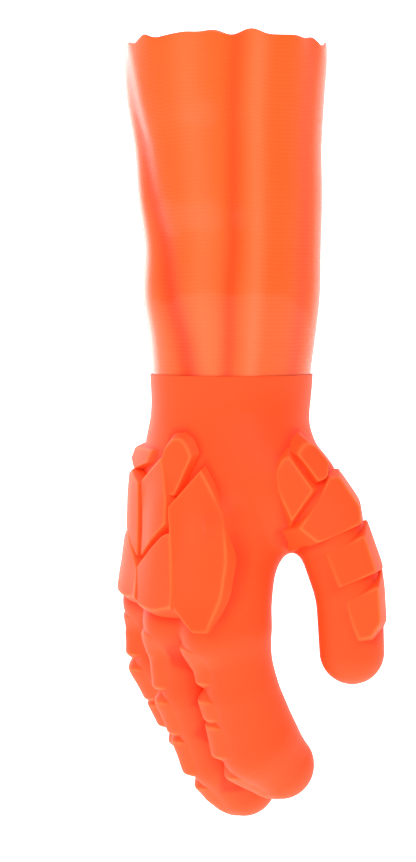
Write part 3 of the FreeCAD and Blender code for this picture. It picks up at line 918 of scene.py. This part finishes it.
def make_skin():
    """The skin's pieces: wrist, hand, three for each finger and two for the thumb."""
    points, parts = skin_pieces()

    rimmed = add_rim(*only(points, parts["wrist"]))
    wrist, _ = skin_piece("wrist_skin", *rimmed)
    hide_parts("wrist_coat_band")
    bend(wrist, "gauntlet", "hand", *((0, 0, height) for height in WRIST_BEND))

    hand, hand_points = skin_piece("hand_skin", points, parts["hand"])
    thumb_start = skin_loop(hand_points, CUTS["thumb"][0])
    others = [hand_points[np.abs(hand_points[:, 2] - WRIST_CUT) < ON_CUT]]
    others += [skin_loop(hand_points, CUTS[finger][0]) for finger in FINGERS]
    still = max((loop @ HAND_BEND_WAY).max() for loop in others)
    turned = max((thumb_start @ HAND_BEND_WAY).min(), still + LEAST_BEND)
    start, end = still + HAND_GAPS[0], turned - HAND_GAPS[1]
    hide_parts("hand_coat")
    bend(hand, "hand", "thumb_base", HAND_BEND_WAY * start, HAND_BEND_WAY * end)

    for digit, cuts in CUTS.items():
        bodies = [f"{digit}_{stretch}" for stretch in STRETCHES[digit]]
        above = ["hand"] + bodies if digit != "thumb" else bodies
        for number, (point, normal) in enumerate(cuts):
            name = f"{digit}_skin_{number + 1}"
            made, _ = skin_piece(name, points, parts[f"{digit}_{number}"])
            hidden = bodies[number:] if number == len(cuts) - 1 else [bodies[number]]
            for body in hidden:
                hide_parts(f"{body}_coat", f"{body}_liner")
            start, end = bend_zone(digit, number, point, normal)
            bend(made, above[number], above[number + 1], start, end)


def bend_zone(digit, number, point, normal):
    """Where a stretch of skin starts and ends its bend."""
    if digit == "thumb":
        return point + normal * THUMB_START_GAP, point + normal * THUMB_BEND
    if number == 2:
        end = CHAINS[digit][2]
        return end - normal * TIP_BEND, end + normal * TIP_BEND
    following = CUTS[digit][1][0]
    length = (following - point) @ normal - END_GAP if number == 0 else FINGER_BEND
    return point + normal * FINGER_START_GAP, point + normal * length


def skin_loop(points, cut):
    """The points of a piece that lie on a cut near its middle."""
    point, normal = cut
    near = np.abs((points - point) @ normal) < ON_CUT
    close = np.linalg.norm(points - point, axis=1) < LOOP_REACH
    return points[near & close]


# ---------------------------------------------------------------- gauntlet sleeve
# Sections of the sleeve: height, radius, and shift to the side of the thumb's back.
SLEEVE_SECTIONS = np.array(
    [
        (2.0, 45.2, -2.0),
        (-4.0, 45.1, -2.0),
        (-22.0, 43.8, -1.9),
        (-43.0, 41.6, -0.7),
        (-64.0, 41.1, 0.2),
        (-86.0, 39.5, 1.4),
        (-107.0, 39.7, 0.9),
        (-128.0, 36.8, 1.4),
        (-141.5, 35.3, 1.1),
        (-150.0, 34.9, 1.0),
    ]
)
SLEEVE_SHIFT_WAY = np.array([0.883, -0.469, 0.0])
SLEEVE_END = -148.0
SLEEVE_WALL = 1.0
LINING_GAP, LINING_WALL, LINING_DROP = 0.3, 1.6, 2.0
# The sleeve and its lining laid flat, cut open along their length, in metres.
# Long soft folds: angle at the hem, angle at the coat, half width in degrees, height in mm.
FOLDS = (
    (166, -149, 11, -1.5),
    (-140, -136, 12, 0.5),
    (-112, -122, 6, -0.8),
    (-100, -106, 7, 0.7),
    (-62, -70, 10, -0.6),
    (-20, -30, 12, -0.7),
    (30, 20, 14, 0.6),
    (75, 60, 10, -0.9),
    (110, 118, 9, 0.6),
    (150, 160, 12, -0.8),
)
# The folds grow shallower from this share of the way to the coat, and lose this share of their height.
FOLD_LOSS_FROM, FOLD_LOSS = 0.75, 0.7
# Waves of the cut hem: how many go round, their height in mm, their phase.
HEM_WAVES = ((17, 0.6, 1.0), (11, 0.5, 2.3), (23, 0.25, 0.4))
# The hem also sways in and out: the same three values, and how far down that reaches.
HEM_SWAY = (13, 0.35, 0.5)
HEM_REACH = 8.0
# The rounded edge of the cloth, as angles from its outer side to its inner side.
HEM_TURNS = (0.6, 1.2, 1.9, 2.5)
# The colour of the folds, a painted dark reflection in valleys and a painted highlight on ridges: its
# width as a share of theirs, its strength on ridges, and in valleys at the hem, from where it grows
# to the coat.
MARK_WIDTH, RIDGE_HIGHLIGHT_SHARE, VALLEY_REFLECTION_AT_HEM = 0.85, 0.5, 0.6
# The radius for which the weave has its true size.
CLOTH_RADIUS = 40
AROUND = 420
ALONG = 110


def turn_between(first, last):
    """The short way round from one angle to another, in degrees."""
    return (last - first + 180) % 360 - 180


def hem_height(angle):
    return sum(height * np.sin(count * angle + phase) for count, height, phase in HEM_WAVES)


def fold_height(angle, share, fold, narrowed=1.0):
    """The cross section of a fold, 1 at its middle, at a share of the way from the hem to the coat."""
    at_hem, at_coat, width, _ = fold
    middle = np.radians(at_hem + turn_between(at_hem, at_coat) * share)
    away = (angle - middle + math.pi) % (2 * math.pi) - math.pi
    return np.exp(-((away / math.radians(width * narrowed)) ** 2))


def sleeve_points(angle, depth, inset):
    """Points of the sleeve: depth goes from 0 at the hem to 1 at its lower end."""
    top = hem_height(angle)
    z = top + (SLEEVE_END - top) * depth
    radius = eased(z, SLEEVE_SECTIONS[:, 0], SLEEVE_SECTIONS[:, 1])
    shift = eased(z, SLEEVE_SECTIONS[:, 0], SLEEVE_SECTIONS[:, 2])
    share = np.clip(z / COAT_LINE, 0, 1)
    fade = 1 - FOLD_LOSS * np.clip((share - FOLD_LOSS_FROM) / (1 - FOLD_LOSS_FROM), 0, 1)
    for fold in FOLDS:
        radius = radius + fold[-1] * fade * fold_height(angle, share, fold)
    count, sway, phase = HEM_SWAY
    radius = radius + sway * np.sin(count * angle + phase) * np.exp(z / HEM_REACH)
    radius = radius - inset
    x = radius * np.cos(angle) + SLEEVE_SHIFT_WAY[0] * shift
    y = radius * np.sin(angle) + SLEEVE_SHIFT_WAY[1] * shift
    return np.stack([x, y, z + 0 * x], axis=-1)


def painted_fold_light(angle, z):
    """How near each point of the sleeve is to the middle of a valley or a ridge, as the strength of a
    painted dark reflection in valleys and a painted highlight on ridges.
    """
    painted_valley_reflection, painted_ridge_highlight = np.zeros_like(z), np.zeros_like(z)
    share = np.clip(z / COAT_LINE, 0, 1)
    for fold in FOLDS:
        height = fold[-1]
        mark = fold_height(angle, share, fold, MARK_WIDTH) * min(1.0, abs(height))
        if height < 0:
            painted_valley_reflection = np.maximum(painted_valley_reflection, mark * (VALLEY_REFLECTION_AT_HEM + (1 - VALLEY_REFLECTION_AT_HEM) * share))
        else:
            painted_ridge_highlight = np.maximum(painted_ridge_highlight, mark * RIDGE_HIGHLIGHT_SHARE)
    return {"painted_valley_reflection": painted_valley_reflection, "painted_ridge_highlight": painted_ridge_highlight}


def tube_piece(name, inset, wall, drop, material):
    """A tube of cloth with a rounded hem, and a flat chart of it for the weave."""
    angle = np.linspace(-math.pi, math.pi, AROUND, endpoint=False)
    depths = np.linspace(0, 1, ALONG)
    length = abs(SLEEVE_END)
    profile = [(inset + wall, depth) for depth in depths[::-1]]
    for turn in HEM_TURNS:
        side = inset + wall * 0.5 * (1 + math.cos(turn))
        profile.append((side, -0.5 * wall / length * math.sin(turn)))
    profile += [(inset, depth) for depth in depths]
    rows = []
    for side, depth in profile:
        row = sleeve_points(angle, depth, side)
        row[:, 2] -= drop
        rows.append(row)
    points = np.concatenate(rows)
    faces, chart = [], []
    for i in range(len(rows)):
        below = (i + 1) % len(rows)
        for j in range(AROUND):
            k = (j + 1) % AROUND
            faces.append([i * AROUND + j, below * AROUND + j, below * AROUND + k, i * AROUND + k])
            chart += [(j, i), (j, i + 1), (j + 1, i + 1), (j + 1, i)]
    # The painted dark reflections and painted highlights of the folds.
    marks = painted_fold_light(np.tile(angle, len(rows)), points[:, 2])
    made = piece(name, points, faces, material, values=marks)
    lengths = [0.0]
    for (_, before), (_, now) in zip(profile, profile[1:]):
        lengths.append(lengths[-1] + abs(now - before) * length)
    lengths.append(lengths[-1] + wall)
    across = 2 * math.pi * CLOTH_RADIUS / AROUND
    layer = made.data.uv_layers.new(name="cloth")
    flat = np.array([(j * across * MM, lengths[i] * MM) for j, i in chart], np.float32)
    layer.data.foreach_set("uv", flat.ravel())
    return made


# The liner as a bag under the skin: how far inside it, its upper and lower end, and its rounding.
BAG_INSET, BAG_TOP, BAG_END, BAG_ROUND = 4.2, -145.0, -222.0, 6.0
BAG_LOW, BAG_HIGH = (-52, -52, BAG_END - 4), (44, 60, BAG_TOP)
BAG_STEP, BAG_OPEN = 2.0, 2.5


def make_gauntlet():
    """The sleeve, its lining, and the liner inside the wrist, which shows through the cuff."""
    sleeve = tube_piece("sleeve_tube", 0.0, SLEEVE_WALL, 0.0, SLEEVE)
    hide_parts("gauntlet_sleeve")
    lining = tube_piece("sleeve_lining", SLEEVE_WALL + LINING_GAP, LINING_WALL, LINING_DROP, LINING)
    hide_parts("gauntlet_lining")
    for made in (sleeve, lining):
        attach(made, "gauntlet")

    def bag(x, y, z):
        return smooth_max(skin_field(x, y, z) + BAG_INSET, BAG_END - z, BAG_ROUND)

    points, faces = surface_of(bag, BAG_LOW, BAG_HIGH, BAG_STEP)
    kept = [face.tolist() for face in faces if points[face][:, 2].mean() < BAG_TOP - BAG_OPEN]
    points, kept = only(points, kept)
    made = piece("wrist_lining", points, kept, LINING)
    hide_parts("hand_liner")
    bend(made, "gauntlet", "hand", *((0, 0, height) for height in WRIST_BEND))


# ---------------------------------------------------------------- stage, light and camera
# Where the camera stands, in degrees round the glove and up, and in metres away.
VIEW_FROM, VIEW_HEIGHT, VIEW_DISTANCE = -28.0, 4.0, 0.72
LOOK_AT = Vector((-0.0082, 0.0044, -0.167))
LENS, SENSOR_HEIGHT = 45.1, 24.0
# Lights: degrees round from the camera, degrees up, distance, breadth, height and power.
LIGHTS = {
    "upper": (-10, 50, 1.3, 1.0, 0.8, 9),
    "lower": (10, -42, 1.3, 1.0, 0.8, 6),
    "left_rear": (-148, 5, 0.9, 0.55, 1.1, 3),
}
# The room is bright behind the glove and dimmer in front of it. The turn is the cosine of the angle
# to the camera's side, where the change starts and ends.
ROOM_TURN = (-0.3, 0.6)
ROOM_LIGHT = (0.75, 0.4)
FLOOR_DROP, BACKDROP_DISTANCE = 0.25, 2.5


def towards(azimuth, elevation):
    """The direction of a viewpoint, with azimuth 0 in front of the thumb's side."""
    turn, rise = math.radians(azimuth), math.radians(elevation)
    return Vector((math.sin(turn) * math.cos(rise), -math.cos(turn) * math.cos(rise), math.sin(rise)))


def make_camera():
    camera = bpy.data.objects.new("camera", bpy.data.cameras.new("camera"))
    bpy.context.scene.collection.objects.link(camera)
    bpy.context.scene.camera = camera
    camera.data.sensor_fit = "VERTICAL"
    camera.data.sensor_height = SENSOR_HEIGHT
    camera.data.lens = LENS
    way = towards(VIEW_FROM, VIEW_HEIGHT)
    camera.location = LOOK_AT + way * VIEW_DISTANCE
    camera.rotation_euler = way.to_track_quat("Z", "Y").to_euler()


def make_light(name, azimuth, elevation, distance, across, tall, power):
    light = bpy.data.lights.new(name, "AREA")
    light.shape = "RECTANGLE"
    light.size, light.size_y, light.energy = across, tall, power
    made = bpy.data.objects.new(name, light)
    way = towards(azimuth, elevation)
    made.location = LOOK_AT + way * distance
    made.rotation_euler = way.to_track_quat("Z", "Y").to_euler()
    bpy.context.scene.collection.objects.link(made)


def make_sheet_of_white(name, centre, across, tall, turn):
    bpy.ops.mesh.primitive_plane_add(size=1, location=centre, rotation=turn)
    made = bpy.context.object
    made.name = name
    made.scale = (across, tall, 1)
    made.data.materials.append(WHITE)


def make_room(way):
    """A white world whose brightness changes from behind the glove to the camera's side."""
    world = bpy.data.worlds.new("white_room")
    world.use_nodes = True
    tree = world.node_tree
    background = tree.nodes["Background"]
    background.inputs["Color"].default_value = (1, 1, 1, 1)
    place = tree.nodes.new("ShaderNodeTexCoord")
    facing = tree.nodes.new("ShaderNodeVectorMath")
    facing.operation = "DOT_PRODUCT"
    facing.inputs[1].default_value = way
    tree.links.new(place.outputs["Generated"], facing.inputs[0])
    ramp = tree.nodes.new("ShaderNodeMapRange")
    ramp.interpolation_type = "SMOOTHSTEP"
    ramp.inputs["From Min"].default_value, ramp.inputs["From Max"].default_value = ROOM_TURN
    ramp.inputs["To Min"].default_value, ramp.inputs["To Max"].default_value = ROOM_LIGHT
    tree.links.new(facing.outputs["Value"], ramp.inputs["Value"])
    tree.links.new(ramp.outputs["Result"], background.inputs["Strength"])
    bpy.context.scene.world = world


def make_stage():
    low, _ = cad_box
    way = towards(VIEW_FROM, 0)
    upright = (math.pi / 2, 0, math.radians(VIEW_FROM))
    make_sheet_of_white("floor", (0, 0, low[2] - FLOOR_DROP), 8, 8, (0, 0, 0))
    make_sheet_of_white("backdrop", tuple(LOOK_AT - way * BACKDROP_DISTANCE), 9, 7, upright)
    make_room(way)
    for name, (turn, *rest) in LIGHTS.items():
        make_light(name, VIEW_FROM + turn, *rest)
    bpy.context.scene.view_settings.view_transform = "Standard"


make_pads()
make_skin()
make_gauntlet()
make_stage()
make_camera()
